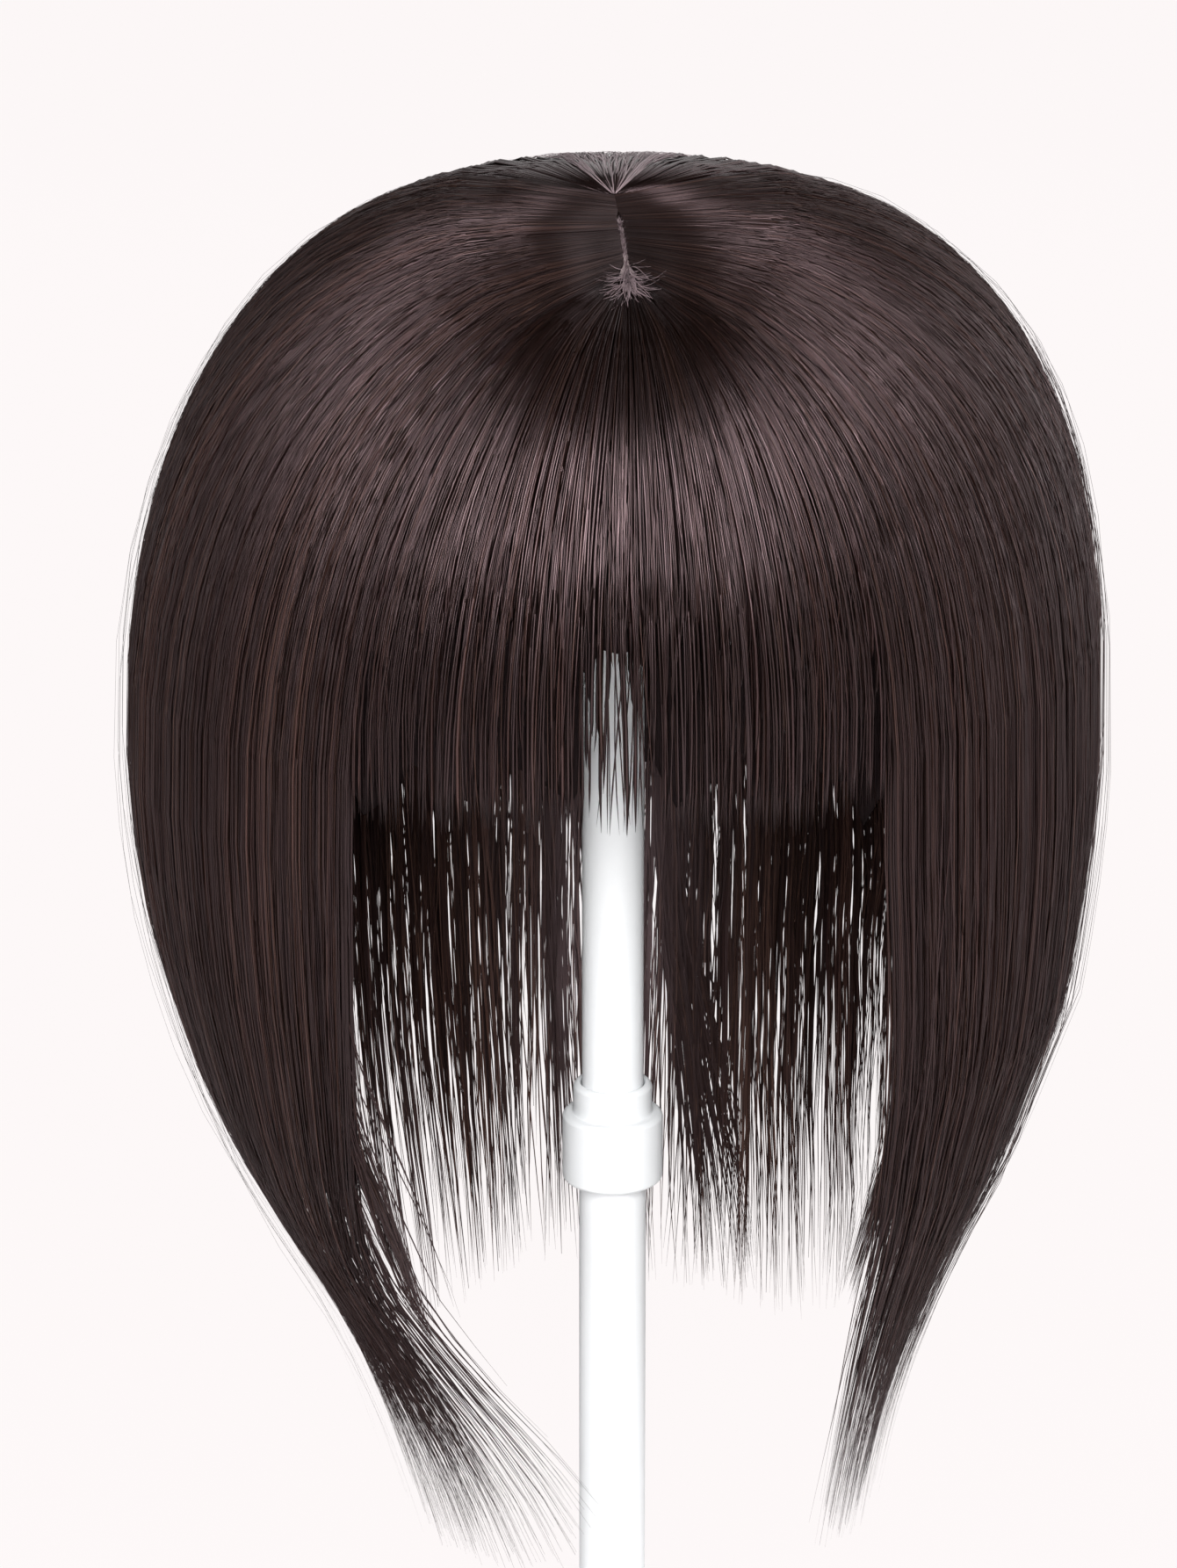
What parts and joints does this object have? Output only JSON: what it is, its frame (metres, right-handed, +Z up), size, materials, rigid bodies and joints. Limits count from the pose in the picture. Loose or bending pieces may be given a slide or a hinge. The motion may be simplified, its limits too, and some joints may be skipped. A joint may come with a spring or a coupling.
{
  "type": "hair topper on a stand",
  "caption": "Straight dark hair topper with a full fringe and a centre parting, held up on a plain white post stand with a round foot.",
  "frame": {"origin": "the middle of the foot's underside, on the surface that the stand rests on", "axes": "+Z runs up the post, which is the longest extent; the fringe faces -Y; +X is to the right as the fringe is looked at"},
  "size_m": [0.2074, 0.179, 0.3739],
  "materials": {
    "hair": "satin",
    "scalp_base": "matte",
    "clip_metal": "satin",
    "stand_plastic": "satin"
  },
  "bodies": {
    "root": {"hair_left": "hair", "hair_right": "hair", "hair_back": "hair", "fringe": "hair", "topper_base": "scalp_base", "clip_front": "clip_metal", "clip_back": "clip_metal", "clip_left": "clip_metal", "clip_right": "clip_metal", "stand_foot": "stand_plastic", "stand_post_lower": "stand_plastic", "stand_collar": "stand_plastic", "stand_post_upper": "stand_plastic", "stand_cap": "stand_plastic"}
  },
  "joints": []
}
